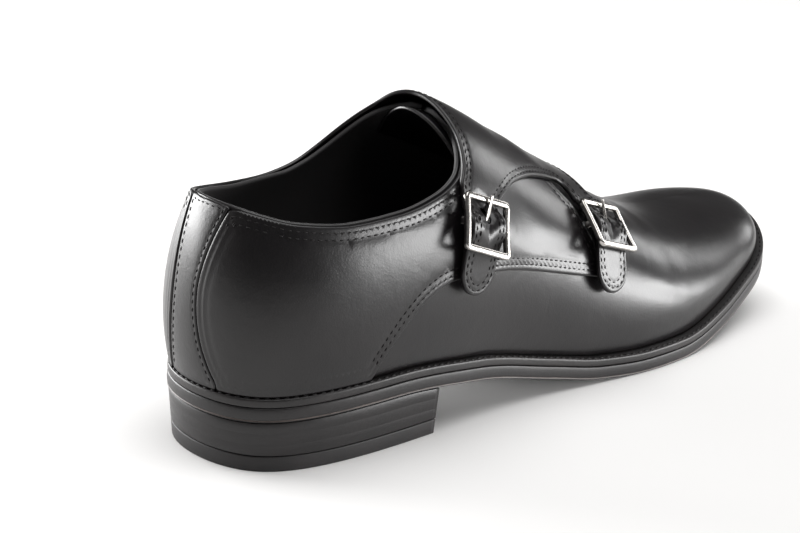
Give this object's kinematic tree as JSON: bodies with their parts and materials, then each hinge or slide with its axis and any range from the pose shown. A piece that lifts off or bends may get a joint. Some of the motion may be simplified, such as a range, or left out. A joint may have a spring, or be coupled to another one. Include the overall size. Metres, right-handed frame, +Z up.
{
  "type": "double monk strap shoe",
  "caption": "Right-foot double monk strap dress shoe: hollow leather upper with a wrap-over strap and buckled arms, welt, leather sole and stacked heel.",
  "frame": {"origin": "centre of the bounding box's bottom face, on the floor that the heel and the forefoot stand on", "axes": "+Z up, +Y from heel to toe, +X to the outer (buckle) side of this right shoe"},
  "size_m": [0.098, 0.3062, 0.1149],
  "materials": {
    "upper_leather": "polished",
    "lining_leather": "matte",
    "welt_leather": "satin",
    "sole_edge": "waxed",
    "heel_rubber": "satin",
    "buckle_metal": "polished"
  },
  "bodies": {
    "root": {"upper": "upper_leather", "lateral_quarter": "upper_leather", "medial_quarter_strap": "upper_leather", "back_stay": "upper_leather", "tongue": "lining_leather", "welt": "welt_leather", "outsole": "sole_edge", "insole": "lining_leather", "heel_stack": "sole_edge", "heel_lift": "heel_rubber", "buckle_frame_rear": "buckle_metal", "buckle_prong_rear": "buckle_metal", "buckle_tab_rear": "upper_leather", "buckle_frame_front": "buckle_metal", "buckle_prong_front": "buckle_metal", "buckle_tab_front": "upper_leather"}
  },
  "joints": []
}
